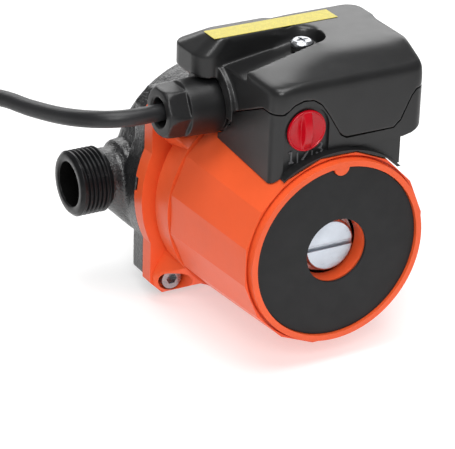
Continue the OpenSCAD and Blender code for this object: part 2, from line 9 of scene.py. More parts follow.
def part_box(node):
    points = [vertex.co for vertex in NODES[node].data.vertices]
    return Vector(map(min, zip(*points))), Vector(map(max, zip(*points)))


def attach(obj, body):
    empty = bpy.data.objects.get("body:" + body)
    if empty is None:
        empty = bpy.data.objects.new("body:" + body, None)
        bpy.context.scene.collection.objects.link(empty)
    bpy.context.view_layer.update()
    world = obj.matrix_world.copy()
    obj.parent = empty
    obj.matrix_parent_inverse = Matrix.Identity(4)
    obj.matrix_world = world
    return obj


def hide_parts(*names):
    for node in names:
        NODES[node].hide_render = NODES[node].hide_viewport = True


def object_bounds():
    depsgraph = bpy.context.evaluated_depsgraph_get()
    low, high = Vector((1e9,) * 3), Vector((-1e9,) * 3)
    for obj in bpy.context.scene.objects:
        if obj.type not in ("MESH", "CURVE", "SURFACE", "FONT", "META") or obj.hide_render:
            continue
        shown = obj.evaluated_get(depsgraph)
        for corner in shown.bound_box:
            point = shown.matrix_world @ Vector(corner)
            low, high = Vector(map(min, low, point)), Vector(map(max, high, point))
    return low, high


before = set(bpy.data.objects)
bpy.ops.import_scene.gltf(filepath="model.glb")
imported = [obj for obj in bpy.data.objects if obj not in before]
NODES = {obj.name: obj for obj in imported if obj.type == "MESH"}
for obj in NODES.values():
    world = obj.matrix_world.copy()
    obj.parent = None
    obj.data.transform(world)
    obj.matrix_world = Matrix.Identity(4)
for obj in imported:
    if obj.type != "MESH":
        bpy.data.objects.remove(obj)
FIRST_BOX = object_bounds()
MM = 0.001
GROUND = round(FIRST_BOX[0].z, 4)
PORT_FACE = round(FIRST_BOX[1].x / MM, 1)


def middle(node):
    """A CAD node's middle in mm, to the nearest 0.1 mm."""
    low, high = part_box(node)
    return [round((a + b) / 2 / MM, 1) for a, b in zip(low, high)]


def clamp(value):
    return min(1, max(0, value))


def ease(value):
    """0 up to 0, 1 from 1 on, and a smooth step between."""
    value = clamp(value)
    return value * value * (3 - 2 * value)


# ---------------------------------------------------------------- camera and studio
CAMERA_HEADING, CAMERA_DOWN, CAMERA_ROLL = (math.radians(a) for a in (29.849, 26.018, -1.812))
CAMERA_PLACE = Vector((-462.4, -819.2, 427.9)) * MM


def make_camera():
    heading = Vector((math.sin(CAMERA_HEADING), math.cos(CAMERA_HEADING), 0))
    forward = heading * math.cos(CAMERA_DOWN) - Vector((0, 0, math.sin(CAMERA_DOWN)))
    side = Vector((math.cos(CAMERA_HEADING), -math.sin(CAMERA_HEADING), 0))
    up = side.cross(forward)
    right = side * math.cos(CAMERA_ROLL) - up * math.sin(CAMERA_ROLL)
    top = up * math.cos(CAMERA_ROLL) + side * math.sin(CAMERA_ROLL)
    data = bpy.data.cameras.new("camera")
    data.sensor_fit = "HORIZONTAL"
    data.sensor_width = 36.0
    data.lens = 201.96
    data.clip_start = 0.05
    data.clip_end = 20
    camera = bpy.data.objects.new("camera", data)
    bpy.context.scene.collection.objects.link(camera)
    turn = Matrix((right, top, -forward)).transposed().to_4x4()
    camera.matrix_world = Matrix.Translation(CAMERA_PLACE) @ turn
    bpy.context.scene.camera = camera


def soft_light(name, place, aim, size, power):
    """A rectangular lamp that faces aim; places and sizes are in metres."""
    data = bpy.data.lights.new(name, "AREA")
    data.shape = "RECTANGLE"
    data.size, data.size_y = size
    data.energy = power
    lamp = bpy.data.objects.new(name, data)
    bpy.context.scene.collection.objects.link(lamp)
    lamp.location = place
    lamp.rotation_mode = "QUATERNION"
    lamp.rotation_quaternion = (Vector(aim) - Vector(place)).to_track_quat("-Z", "Y")


def make_lights():
    scene = bpy.context.scene
    scene.view_settings.view_transform = "Standard"
    scene.view_settings.look = "None"
    world = bpy.data.worlds.new("studio")
    scene.world = world
    world.use_nodes = True
    back = world.node_tree.nodes["Background"]
    back.inputs["Color"].default_value = (1, 1, 1, 1)
    back.inputs["Strength"].default_value = 0.22
    soft_light("overhead", (-0.10, -0.15, 1.1), (0, -0.05, 0), (0.9, 0.7), 10)
    soft_light("back_softbox", (0.55, 1.0, 0.66), (0, -0.03, 0.05), (1.7, 0.8), 11)
    soft_light("key_front_left", (-0.55, -0.95, 0.85), (0, -0.05, 0), (0.5, 0.5), 8)


def glowing_floor_material():
    """White floor that glows by itself (painted light, which washes out shadows on it), paler and glowing most
    on a sheet in the camera's view, so that black surfaces don't reflect white.
    """
    sheet_middle, sheet_half = (0.045, 0.06, 0), (0.145, 0.255, 1)
    sheet_start, sheet_end = 1.0, 2.4
    material = bpy.data.materials.new("floor")
    material.use_nodes = True
    nodes, link = material.node_tree.nodes, material.node_tree.links.new
    shader = nodes["Principled BSDF"]
    place = nodes.new("ShaderNodeMapping")
    place.vector_type = "TEXTURE"
    place.inputs["Location"].default_value = sheet_middle
    place.inputs["Rotation"].default_value = (0, 0, -CAMERA_HEADING)
    place.inputs["Scale"].default_value = sheet_half
    link(nodes.new("ShaderNodeTexCoord").outputs["Object"], place.inputs["Vector"])
    distance = nodes.new("ShaderNodeVectorMath")
    distance.operation = "ABSOLUTE"
    link(place.outputs["Vector"], distance.inputs[0])
    split = nodes.new("ShaderNodeSeparateXYZ")
    link(distance.outputs["Vector"], split.inputs["Vector"])
    furthest = nodes.new("ShaderNodeMath")
    furthest.operation = "MAXIMUM"
    link(split.outputs["X"], furthest.inputs[0])
    link(split.outputs["Y"], furthest.inputs[1])

    def fade(near, far):
        """A value on the sheet that eases to another one around it."""
        made = nodes.new("ShaderNodeMapRange")
        made.interpolation_type = "SMOOTHSTEP"
        made.inputs["From Min"].default_value = sheet_start
        made.inputs["From Max"].default_value = sheet_end
        made.inputs["To Min"].default_value = near
        made.inputs["To Max"].default_value = far
        link(furthest.outputs["Value"], made.inputs["Value"])
        return made.outputs["Result"]

    grey = nodes.new("ShaderNodeCombineColor")
    for channel in ("Red", "Green", "Blue"):
        link(fade(0.62, 0.5), grey.inputs[channel])
    link(grey.outputs["Color"], shader.inputs["Base Color"])
    # Painted light: the floor's own glow, strongest on the sheet, fills the shadows on it.
    link(fade(0.48, 0.16), shader.inputs["Emission Strength"])
    shader.inputs["Roughness"].default_value = 0.9
    shader.inputs["Specular IOR Level"].default_value = 0.0
    shader.inputs["Emission Color"].default_value = (1, 1, 1, 1)
    return material


def make_floor():
    half = 3.0
    z = GROUND - 0.0002
    corners = [(-half, -half, z), (half, -half, z), (half, half, z), (-half, half, z)]
    mesh = bpy.data.meshes.new("floor")
    mesh.from_pydata(corners, [], [(0, 1, 2, 3)])
    mesh.materials.append(glowing_floor_material())
    floor = bpy.data.objects.new("floor", mesh)
    bpy.context.scene.collection.objects.link(floor)


# ---------------------------------------------------------------- materials
def surface(name, colour, rough, metal=0.0, vary=0.12, vary_scale=60, rough_vary=0.08, bumps=(),
            specular=0.5, fleck=None, streaks=None):
    """A procedural surface whose colour and roughness drift with noise.

    bumps holds (scale, height in mm, detail) layers, fleck is (scale, cut, colour) of small spots, and
    streaks stretches the noise of bumps and roughness along an axis.
    """
    material = bpy.data.materials.new(name)
    material.use_nodes = True
    nodes, link = material.node_tree.nodes, material.node_tree.links.new
    shader = nodes["Principled BSDF"]
    shader.inputs["Metallic"].default_value = metal
    shader.inputs["Specular IOR Level"].default_value = specular
    where = nodes.new("ShaderNodeTexCoord").outputs["Object"]

    def noise_of(scale, detail, stretch=None, offset=0.0):
        source = where
        if stretch or offset:
            place = nodes.new("ShaderNodeMapping")
            place.inputs["Scale"].default_value = stretch or (1, 1, 1)
            place.inputs["Location"].default_value = (offset, offset, offset)
            link(where, place.inputs["Vector"])
            source = place.outputs["Vector"]
        made = nodes.new("ShaderNodeTexNoise")
        made.inputs["Scale"].default_value = scale
        made.inputs["Detail"].default_value = detail
        link(source, made.inputs["Vector"])
        return made.outputs["Fac"]

    def colour_drift():
        ramp = nodes.new("ShaderNodeValToRGB")
        low, high = ramp.color_ramp.elements
        low.position, high.position = 0.3, 0.7
        low.color = [c * (1 - vary) for c in colour] + [1]
        high.color = [min(1, c * (1 + vary)) for c in colour] + [1]
        link(noise_of(vary_scale, 5), ramp.inputs["Fac"])
        return ramp.outputs["Color"]

    def with_flecks(tint):
        scale, cut, fleck_colour = fleck
        spots = nodes.new("ShaderNodeValToRGB")
        spots.color_ramp.elements[0].position = cut
        spots.color_ramp.elements[1].position = min(1, cut + 0.05)
        link(noise_of(scale, 2, offset=3.1), spots.inputs["Fac"])
        mix = nodes.new("ShaderNodeMix")
        mix.data_type = "RGBA"
        link(spots.outputs["Color"], mix.inputs["Factor"])
        link(tint, mix.inputs["A"])
        mix.inputs["B"].default_value = (*fleck_colour, 1)
        return mix.outputs["Result"]

    tint = colour_drift()
    link(with_flecks(tint) if fleck else tint, shader.inputs["Base Color"])
    spread = nodes.new("ShaderNodeMapRange")
    spread.inputs["To Min"].default_value = max(0.02, rough - rough_vary)
    spread.inputs["To Max"].default_value = min(1, rough + rough_vary)
    link(noise_of(vary_scale * 2.3, 5, streaks, 1.7), spread.inputs["Value"])
    link(spread.outputs["Result"], shader.inputs["Roughness"])
    normal = None
    for scale, height, detail in bumps:
        bump = nodes.new("ShaderNodeBump")
        bump.inputs["Strength"].default_value = 1.0
        bump.inputs["Distance"].default_value = height * MM
        link(noise_of(scale, detail, streaks), bump.inputs["Height"])
        if normal is not None:
            link(normal, bump.inputs["Normal"])
        normal = bump.outputs["Normal"]
    if normal is not None:
        link(normal, shader.inputs["Normal"])
    return material


MATERIALS = {
    "motor_paint": surface("orange_paint", (0.86, 0.112, 0.03), 0.36, vary=0.05, vary_scale=35,
                           rough_vary=0.05, bumps=[(700, 0.05, 3), (90, 0.10, 2)], specular=0.32),
    "cast_iron": surface("black_casting", (0.005, 0.0052, 0.006), 0.3, vary=0.3, vary_scale=160,
                         rough_vary=0.15, bumps=[(1300, 0.26, 2), (420, 0.3, 2)],
                         fleck=(1900, 0.66, (0.05, 0.052, 0.058)), specular=1.0),
    "port_black": surface("machined_black", (0.006, 0.0062, 0.007), 0.3, vary=0.2, vary_scale=200,
                          bumps=[(900, 0.05, 3)], specular=0.3),
    # Near black and hardly reflective: painted shade inside the ports' bores.
    "bore_black": surface("bore_painted_shade", (0.002, 0.002, 0.002), 0.8, vary=0.3, vary_scale=200,
                          bumps=[(700, 0.1, 3)], specular=0.05),
    "box_plastic": surface("satin_black_plastic", (0.012, 0.0121, 0.0125), 0.33, vary=0.15, vary_scale=90,
                           rough_vary=0.05, bumps=[(2600, 0.035, 2)]),
    "gland_plastic": surface("gland_plastic", (0.008, 0.0081, 0.0086), 0.4, vary=0.15, vary_scale=90,
                             rough_vary=0.06, bumps=[(1800, 0.05, 3)]),
    # Lighter grey than the box: painted highlight, standing for the light that catches the digits' and ribs'
    # edges.
    "digit_grey": surface("digit_painted_highlight_plastic", (0.10, 0.10, 0.105), 0.4, vary=0.1,
                          bumps=[(1500, 0.03, 2)]),
    "seal_rubber": surface("seal_rubber", (0.012, 0.012, 0.012), 0.6, bumps=[(900, 0.08, 3)]),
    "cord_rubber": surface("cord_rubber", (0.011, 0.0113, 0.0125), 0.45, vary=0.2, vary_scale=70,
                           bumps=[(1500, 0.06, 3), (160, 0.12, 2)]),
    "tie_strap": surface("tie_strap", (0.02, 0.02, 0.02), 0.4, bumps=[(900, 0.06, 3)]),
    "knob_red": surface("red_gloss_plastic", (0.50, 0.001, 0.010), 0.2, vary=0.08, vary_scale=120,
                        rough_vary=0.05, bumps=[(1500, 0.02, 2)], specular=0.4),
    "label_yellow": surface("yellow_film", (0.56, 0.47, 0.045), 0.45, vary=0.1, vary_scale=500,
                            bumps=[(1200, 0.02, 2)], fleck=(2600, 0.56, (0.40, 0.34, 0.06))),
    "plate_black": surface("nameplate_film", (0.019, 0.0192, 0.02), 0.5, vary=0.1, vary_scale=160,
                           rough_vary=0.06, bumps=[(2400, 0.02, 2)], specular=0.2),
    "zinc_screw": surface("zinc_plate", (0.4, 0.41, 0.43), 0.28, metal=1.0, vary_scale=260,
                          bumps=[(900, 0.05, 4)]),
    "nickel_brass": surface("brushed_nickel", (0.56, 0.60, 0.66), 0.3, metal=1.0, vary=0.1, vary_scale=120,
                            bumps=[(500, 0.04, 4)], streaks=(1, 1, 26)),
    "stainless": surface("stainless", (0.6, 0.6, 0.62), 0.32, metal=1.0, bumps=[(500, 0.03, 3)],
                         streaks=(1, 20, 1)),
    "carbon": surface("carbon", (0.03, 0.03, 0.033), 0.45, bumps=[(900, 0.03, 3)]),
    "ceramic": surface("ceramic", (0.8, 0.79, 0.75), 0.25, bumps=[(900, 0.01, 2)]),
    "rotor_steel": surface("rotor_steel", (0.45, 0.46, 0.48), 0.35, metal=1.0, bumps=[(500, 0.04, 3)],
                           streaks=(1, 20, 1)),
    "impeller_plastic": surface("impeller_plastic", (0.05, 0.05, 0.055), 0.4, bumps=[(900, 0.04, 3)]),
    "brass_part": surface("brass", (0.72, 0.52, 0.22), 0.26, metal=1.0, vary=0.1, bumps=[(600, 0.03, 3)]),
    "lamination": surface("lamination", (0.3, 0.31, 0.33), 0.45, metal=0.9, bumps=[(60, 0.2, 2)],
                          streaks=(1, 60, 1)),
    "copper_wire": surface("copper", (0.62, 0.25, 0.1), 0.35, metal=0.9, bumps=[(150, 0.3, 3)],
                           streaks=(6, 1, 6)),
    "white_plastic": surface("white_plastic", (0.75, 0.74, 0.7), 0.4, vary=0.05, bumps=[(900, 0.03, 3)]),
    "lead_cores": surface("lead_cores", (0.35, 0.25, 0.06), 0.45, bumps=[(900, 0.03, 3)]),
}


# ---------------------------------------------------------------- mesh tools
def shade(piece, angle):
    """Smooth shading, with sharp edges where faces meet at more than angle degrees."""
    bm = bmesh.new()
    bm.from_mesh(piece.data)
    bmesh.ops.recalc_face_normals(bm, faces=bm.faces)
    for face in bm.faces:
        face.smooth = True
    for edge in bm.edges:
        edge.smooth = len(edge.link_faces) == 2 and edge.calc_face_angle(0) < math.radians(angle)
    bm.to_mesh(piece.data)
    bm.free()


def weld(piece, distance, angle):
    """Joins vertices that fall together, then shades the piece again."""
    bm = bmesh.new()
    bm.from_mesh(piece.data)
    bmesh.ops.remove_doubles(bm, verts=bm.verts, dist=distance)
    bm.to_mesh(piece.data)
    bm.free()
    shade(piece, angle)


def show_mesh(name, mesh, material, angle):
    """A shaded piece from a mesh, in one material."""
    mesh.name = name
    mesh.materials.clear()
    mesh.materials.append(MATERIALS[material])
    piece = bpy.data.objects.new(name, mesh)
    bpy.context.scene.collection.objects.link(piece)
    shade(piece, angle)
    return piece


def add_mesh(name, verts, faces, material, body="pump", angle=35):
    """A piece from vertices in metres that rides on a body."""
    mesh = bpy.data.meshes.new(name)
    mesh.from_pydata([tuple(v) for v in verts], [], faces)
    mesh.validate()
    piece = show_mesh(name, mesh, material, angle)
    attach(piece, body)
    return piece


def ring_angles(steps):
    return [2 * math.pi * k / steps for k in range(steps)]


def ring_faces(rings, steps, closed=False):
    """Quads that join rings of steps vertices each, and the last ring to the first if closed."""
    faces = []
    for i in range(rings if closed else rings - 1):
        first, second = i * steps, (i + 1) % rings * steps
        for k in range(steps):
            k2 = (k + 1) % steps
            faces.append((first + k, first + k2, second + k2, second + k))
    return faces


def lathe(name, profile, axis, at, material, body="pump", steps=96):
    """A turned piece from a closed outline of (along, radius) in mm, about an axis through at."""
    angle = 35
    unit = {"X": Vector((1, 0, 0)), "Y": Vector((0, 1, 0))}[axis]
    a = {"X": Vector((0, 1, 0)), "Y": Vector((0, 0, 1))}[axis]
    b = unit.cross(a)
    verts = [(Vector(at) + unit * along + (a * math.cos(t) + b * math.sin(t)) * r) * MM
             for along, r in profile for t in ring_angles(steps)]
    piece = add_mesh(name, verts, ring_faces(len(profile), steps, closed=True), material, body, angle)
    weld(piece, 1e-6, angle)
    return piece


def catmull(points, per):
    """A smooth curve through the given points, with per points to each stretch."""
    p = [np.array(q, float) for q in points]
    p = [2 * p[0] - p[1], *p, 2 * p[-1] - p[-2]]
    made = []
    for i in range(1, len(p) - 2):
        for k in range(per):
            t = k / per
            made.append(0.5 * (2 * p[i] + (p[i + 1] - p[i - 1]) * t
                               + (2 * p[i - 1] - 5 * p[i] + 4 * p[i + 1] - p[i + 2]) * t ** 2
                               + (3 * p[i] - p[i - 1] - 3 * p[i + 1] + p[i + 2]) * t ** 3))
    made.append(p[-2])
    return made


def tube(name, path, radius, material, sides):
    """A capped tube along points in mm, with a cross-section that is carried along without twisting."""
    points = [Vector(q) for q in path]
    verts = []
    tangent = (points[1] - points[0]).normalized()
    side = tangent.cross(Vector((0, 0, 1)))
    side = (side if side.length > 0.05 else tangent.cross(Vector((0, 1, 0)))).normalized()
    for i, point in enumerate(points):
        tangent = (points[min(i + 1, len(points) - 1)] - points[max(i - 1, 0)]).normalized()
        side = (side - tangent * side.dot(tangent)).normalized()
        up = side.cross(tangent)
        verts += [(point + (side * math.cos(t) + up * math.sin(t)) * radius) * MM for t in ring_angles(sides)]
    faces = ring_faces(len(points), sides)
    faces.append(tuple(range(sides - 1, -1, -1)))
    faces.append(tuple((len(points) - 1) * sides + k for k in range(sides)))
    return add_mesh(name, verts, faces, material)


def rounded_block(name, low, high, radius, material, taper=0.0, segments=5):
    """A block with rounded edges, in mm, whose +X end is narrower by taper."""
    centre = [(low[i] + high[i]) / 2 for i in range(3)]
    bm = bmesh.new()
    bmesh.ops.create_cube(bm, size=1)
    for v in bm.verts:
        v.co = Vector([low[i] + (v.co[i] + 0.5) * (high[i] - low[i]) for i in range(3)])
        if v.co.x > centre[0]:
            v.co.y = centre[1] + (v.co.y - centre[1]) * (1 - taper)
            v.co.z = centre[2] + (v.co.z - centre[2]) * (1 - taper)
    bmesh.ops.bevel(bm, geom=list(bm.edges), offset=radius, segments=segments, affect="EDGES", profile=0.5)
    for v in bm.verts:
        v.co *= MM
    mesh = bpy.data.meshes.new(name)
    bm.to_mesh(mesh)
    bm.free()
    return show_mesh(name, mesh, material, 50)


def modifier(piece, kind, **settings):
    made = piece.modifiers.new(kind.lower(), kind)
    for key, value in settings.items():
        setattr(made, key, value)
    return made


def dressed(node, material, width, segments=2, angle=24):
    """A CAD node shown with the edges sharper than angle degrees broken by a small round, width mm wide."""
    piece = NODES[node]
    piece.data.materials.clear()
    piece.data.materials.append(MATERIALS[material])
    for face in piece.data.polygons:
        face.use_smooth = True
        face.material_index = 0
    modifier(piece, "WELD", merge_threshold=0.02 * MM)
    modifier(piece, "DECIMATE", decimate_type="DISSOLVE", angle_limit=math.radians(2))
    if width:
        modifier(piece, "BEVEL", width=width * MM, segments=segments, limit_method="ANGLE",
                 angle_limit=math.radians(angle), use_clamp_overlap=True, harden_normals=False,
                 miter_outer="MITER_ARC", affect="EDGES")
    modifier(piece, "WEIGHTED_NORMAL", keep_sharp=False, weight=80, mode="FACE_AREA")


def soft_cast(node, name, material, body, voxel, rounds, cutters=()):
    """A piece that stands for a CAD node, with all its edges and inner corners softly rounded."""
    source = NODES[node]
    tools = [modifier(source, "WELD", merge_threshold=0.02 * MM)]
    for cutter in cutters:
        tools.append(modifier(source, "BOOLEAN", operation="DIFFERENCE", object=cutter, solver="EXACT"))
    tools.append(modifier(source, "REMESH", mode="VOXEL", voxel_size=voxel * MM, use_smooth_shade=True))
    tools.append(modifier(source, "SMOOTH", factor=0.5, iterations=rounds))
    shown = source.evaluated_get(bpy.context.evaluated_depsgraph_get())
    piece = show_mesh(name, bpy.data.meshes.new_from_object(shown), material, 60)
    for tool in tools:
        source.modifiers.remove(tool)
    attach(piece, body)
    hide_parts(node)
    return piece


def vectors_of(attribute, key):
    """One row of x, y and z for each vertex."""
    rows = np.empty(len(attribute) * 3, np.float32)
    attribute.foreach_get(key, rows)
    return rows.reshape(-1, 3).astype(np.float64)


def move_vertices(mesh, places):
    mesh.vertices.foreach_set("co", places.ravel().astype(np.float32))
    mesh.update()


def melt(piece, share, rounds):
    """Relaxes a fine mesh where share(x, y, z) in mm is above 0, so that edges there turn into rounds."""
    mesh = piece.data
    count = len(mesh.vertices)
    places = vectors_of(mesh.vertices, "co")
    ends = np.empty(len(mesh.edges) * 2, np.int64)
    mesh.edges.foreach_get("vertices", ends)
    a, b = ends[0::2], ends[1::2]
    neighbours = np.maximum(np.bincount(a, minlength=count) + np.bincount(b, minlength=count), 1)
    weight = 0.7 * np.clip(share(*(places.T / MM)), 0, 1)
    for _ in range(rounds):
        for axis in range(3):
            c = places[:, axis]
            mean = (np.bincount(a, c[b], count) + np.bincount(b, c[a], count)) / neighbours
            places[:, axis] = c + weight * (mean - c)
    move_vertices(mesh, places)
    shade(piece, 60)


def roughen(piece, scale, height):
    """Uneven skin of a sand casting, height mm high."""
    places = vectors_of(piece.data.vertices, "co")
    normals = vectors_of(piece.data.vertex_normals, "vector")
    spots = [Vector(p) * scale for p in places]
    push = np.array([noise.noise(p) + 0.6 * noise.noise(p * 2.7) for p in spots])
    move_vertices(piece.data, places + normals * (push * height * MM)[:, None])


# ---------------------------------------------------------------- mains lead
# Points in mm from inside the gland to the start of the coil.
LEAD_ROUTE = [(-17, -46, 46), (-30, -46, 46), (-42, -46, 46), (-52, -46, 46), (-59, -46, 46),
              (-66, -44.5, 45.8), (-72, -40, 45), (-76.5, -31.5, 43), (-79.5, -19, 40), (-82.5, -1, 36.5),
              (-85.2, 13, 34.8), (-88.6, 23.4, 32.2), (-94.6, 32.2, 24.8), (-102.4, 38.2, 12.6),
              (-111.5, 41.4, -2.6), (-121, 42.2, -17.6), (-130.5, 42.2, -30.4), (-140.5, 41.7, -39.6),
              (-152.8, 40.7, -42.9)]
TAIL_BEND = (-193.9, -28.2, -36.5)
CORD_R = 3.3
LAYER_Z = GROUND / MM + CORD_R
COIL_CENTRE = (-152.8, -3)
COIL_START = 90
COIL_STEP = 12
TURNS_IN, TURNS_OUT = 2.6, 2.7
COIL_OUT, COIL_IN, COIL_END = 43.7, 26.0, 44.4
PLUG_AT, PLUG_TURN = Vector((-193, -38.3, -36.7)), math.radians(-78)


def winding(first_angle, steps, first_r, last_r, rise):
    """Points of a flat spiral after its first angle, rise(i) mm above the ground layer."""
    points = []
    for i in range(1, steps + 1):
        angle = math.radians(first_angle + i * COIL_STEP)
        r = first_r + (last_r - first_r) * (i / steps)
        points.append((COIL_CENTRE[0] + r * math.cos(angle), COIL_CENTRE[1] + r * math.sin(angle),
                       LAYER_Z + rise(i)))
    return points


def coil_points():
    """Ground layer that winds inward, then a second layer on it that winds out to the tail."""
    climb = 8
    steps_in, steps_out = (round(turns * 360 / COIL_STEP) for turns in (TURNS_IN, TURNS_OUT))
    ground_layer = winding(COIL_START, steps_in, COIL_OUT, COIL_IN, lambda i: 0)
    upper_layer = winding(COIL_START + steps_in * COIL_STEP, steps_out, COIL_IN, COIL_END,
                          lambda i: 2 * CORD_R * clamp(i / climb) ** 0.8)
    return ground_layer + upper_layer


def make_lead():
    into_plug = PLUG_AT + Vector((math.cos(PLUG_TURN), math.sin(PLUG_TURN), 0)) * 3
    route = catmull([*LEAD_ROUTE, *coil_points(), TAIL_BEND, tuple(into_plug)], 3)
    lead = tube("mains_lead", route, CORD_R, "cord_rubber", sides=18)
    plug = make_plug()
    tie = make_tie()
    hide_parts("cord_tube", "cord_coil", "cord_tail")


def strain_relief():
    """Outline of the plug's ribbed relief, which widens toward the plug."""
    outline = []
    for i in range(5):
        x = -2 + i * 3.4
        r = 4.3 + 0.42 * i
        outline += [(x, r), (x + 2.0, r + 0.25), (x + 2.25, r - 0.7), (x + 3.15, r - 0.6)]
    return outline + [(15.2, 7.0), (16.8, 8.0), (18.5, 8.0), (18.5, 0.1), (-2, 0.1)]


def make_plug():
    """Moulded three-pin plug with a ribbed strain relief, made along +X and then laid beside the coil."""
    place = Matrix.Translation(PLUG_AT * MM) @ Matrix.Rotation(PLUG_TURN, 4, "Z")
    centre = (0, 0, 0)
    earth_z, blade_y, grip_y = -5, 6.35, 9.8
    moulding = rounded_block("plug_moulding", (15.5, -10, -9.5), (39.6, 10, 9.5), 3.2, "cord_rubber",
                             taper=0.06)
    relief = lathe("plug_relief", strain_relief(), "X", centre, "cord_rubber", steps=40)
    face = lathe("plug_face", [(36, 0.1), (36, 8.3), (39.5, 8.5), (40.3, 8.0), (40.3, 0.1)], "X", centre,
                 "cord_rubber", steps=48)
    grips = []
    for side, s in (("l", -1), ("r", 1)):
        for i in range(4):
            x = 20.5 + 4 * i
            grips.append(rounded_block(f"plug_grip_{side}{i}", (x, s * grip_y - 0.7, -5.5),
                                       (x + 1.8, s * grip_y + 0.7, 5.5), 0.6, "cord_rubber", segments=3))
    blades = [rounded_block(f"plug_blade_{i}", (39, s * blade_y - 0.75, -0.2),
                            (56, s * blade_y + 0.75, 6.2), 0.35, "brass_part", segments=2)
              for i, s in enumerate((-1, 1))]
    pin_outline = [(39, 0.05), (39, 2.4), (54.5, 2.4), (56.3, 1.9), (57.4, 0.9), (57.5, 0.05)]
    pin = lathe("plug_earth_pin", pin_outline, "X", (0, 0, earth_z), "brass_part", steps=32)
    pieces = [moulding, relief, face, *grips, *blades, pin]
    for piece in pieces:
        piece.parent = None
        piece.matrix_world = place
        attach(piece, "pump")
    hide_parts("plug_body")
    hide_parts("plug_blades")
    return pieces


def make_tie():
    """Coated wire tie that goes twice round the coil's turns."""
    turn = math.radians(-62)
    outward = Vector((math.cos(turn), math.sin(turn), 0))
    across = Vector((-math.sin(turn), math.cos(turn), 0))
    centre = Vector((*COIL_CENTRE, GROUND / MM))
    steps = 9
    near, far, low, high = 21.9, 48.9, 0.75, 14.0
    corners = [(near, low), (far, low), (far, high), (near, high)]
    square = [(r0 + (r1 - r0) * k / steps, z0 + (z1 - z0) * k / steps)
              for (r0, z0), (r1, z1) in zip(corners, corners[1:] + corners[:1]) for k in range(steps)]
    soft = np.mean([np.roll(square, shift, axis=0) for shift in (1, 0, -1)], axis=0)
    loops = []
    for n, shift in enumerate((-2.2, 0.6)):
        path = [centre + outward * r + across * (shift + 0.5 * math.sin(i * 0.35)) + Vector((0, 0, z))
                for i, (r, z) in enumerate(soft.tolist())]
        path.append(path[0])
        loops.append(tube(f"tie_loop_{n}", path, 0.6, "tie_strap", sides=8))
    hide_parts("cord_tie")
    return loops


# ---------------------------------------------------------------- pump end
THREAD_CREST, THREAD_ROOT, THREAD_PITCH, THREAD_LENGTH = 13.22, 12.15, 1.814, 12.4
PORT_BORE, BORE_DEPTH = 9.0, 18.0


def thread_radius(along, turn):
    """Radius of a G 3/4 thread, along mm in from the port's face and at a share of a turn."""
    thread_start, run_in = 1.5, 1.2
    thread_end, run_out = THREAD_LENGTH - 0.2, 0.8
    root_flat = 0.12
    chamfer_length, chamfer_depth, chamfer_slope = 1.3, 1.15, 0.95
    phase = ((along - 0.2) / THREAD_PITCH - turn) % 1.0
    wave = ease((1 - abs(2 * phase - 1) - root_flat) / (1 - 2 * root_flat))
    share = clamp((along - thread_start) / run_in) * clamp((thread_end - along) / run_out)
    r = THREAD_CREST - (THREAD_CREST - THREAD_ROOT) * (1 - wave) * share
    if along < chamfer_length:
        r = min(r, THREAD_CREST - chamfer_depth + along * chamfer_slope)
    return r


def make_port(name, sign):
    """A threaded port with a plain bore, as a closed stack of rings: out along the bore, then back outside."""
    steps, rows = 96, 150
    rings = [(BORE_DEPTH, [PORT_BORE] * steps), (0.5, [PORT_BORE] * steps), (0.0, [PORT_BORE + 0.5] * steps)]
    for i in range(rows + 1):
        along = THREAD_LENGTH * i / rows
        rings.append((along, [thread_radius(along, k / steps) for k in range(steps)]))
    verts = [(sign * (PORT_FACE - along) * MM, r * math.cos(t) * MM, r * math.sin(t) * MM)
             for along, radii in rings for r, t in zip(radii, ring_angles(steps))]
    port = add_mesh(name, verts, ring_faces(len(rings), steps, closed=True), "port_black", angle=50)
    # The bore's faces get the near-black bore material: painted shade deep in the port.
    port.data.materials.append(MATERIALS["bore_black"])
    for face in port.data.polygons:
        if all(math.hypot(*port.data.vertices[v].co[1:]) < (PORT_BORE + 0.3) * MM for v in face.vertices):
            face.material_index = 1


def port_cutter(name, sign):
    """Hidden ring that takes the CAD's plain thread off the casing, so that a real thread can replace it."""
    thread_start = sign * (PORT_FACE - THREAD_LENGTH + 0.1)
    past_face = sign * (PORT_FACE + 1)
    outline = [(thread_start, 7), (past_face, 7), (past_face, 20), (thread_start, 20)]
    cutter = lathe(name, outline, "X", (0, 0, 0), "seal_rubber", steps=64)
    cutter.hide_render = True
    cutter.hide_viewport = True
    return cutter


def make_casing():
    cutters = [port_cutter("cut_l", -1), port_cutter("cut_r", 1)]
    casing = soft_cast("pump_casing", "casing_body", "cast_iron", "pump", voxel=0.62, rounds=5,
                       cutters=cutters)
    roughen(casing, 1400, 0.09)
    for cutter in cutters:
        bpy.data.objects.remove(cutter)
    make_port("port_thread_left", -1)
    make_port("port_thread_right", 1)


# ---------------------------------------------------------------- terminal box and controls
SCREW_X, SCREW_Y, _ = middle("cover_screw")


def front_block_share(x, y, z):
    """Where the cover's top rolls over softly: its front block, without the screw's groove."""
    slope_z, ledge_y, groove_half = 61.5, -53.5, 9.0
    from_middle = np.where(x < SCREW_X, np.abs(y - SCREW_Y), np.hypot(x - SCREW_X, y - SCREW_Y))
    return np.minimum.reduce([(z - slope_z) / 4, (from_middle - groove_half) / 3, (ledge_y - y) / 3])


def ridge_share(x, y, z):
    """The line where the front slope meets the flat top, which is the softest of all."""
    ridge_z, right_x = 68.2, 36
    return np.minimum.reduce([front_block_share(x, y, z), (z - ridge_z) / 1.5, (right_x - x) / 4])


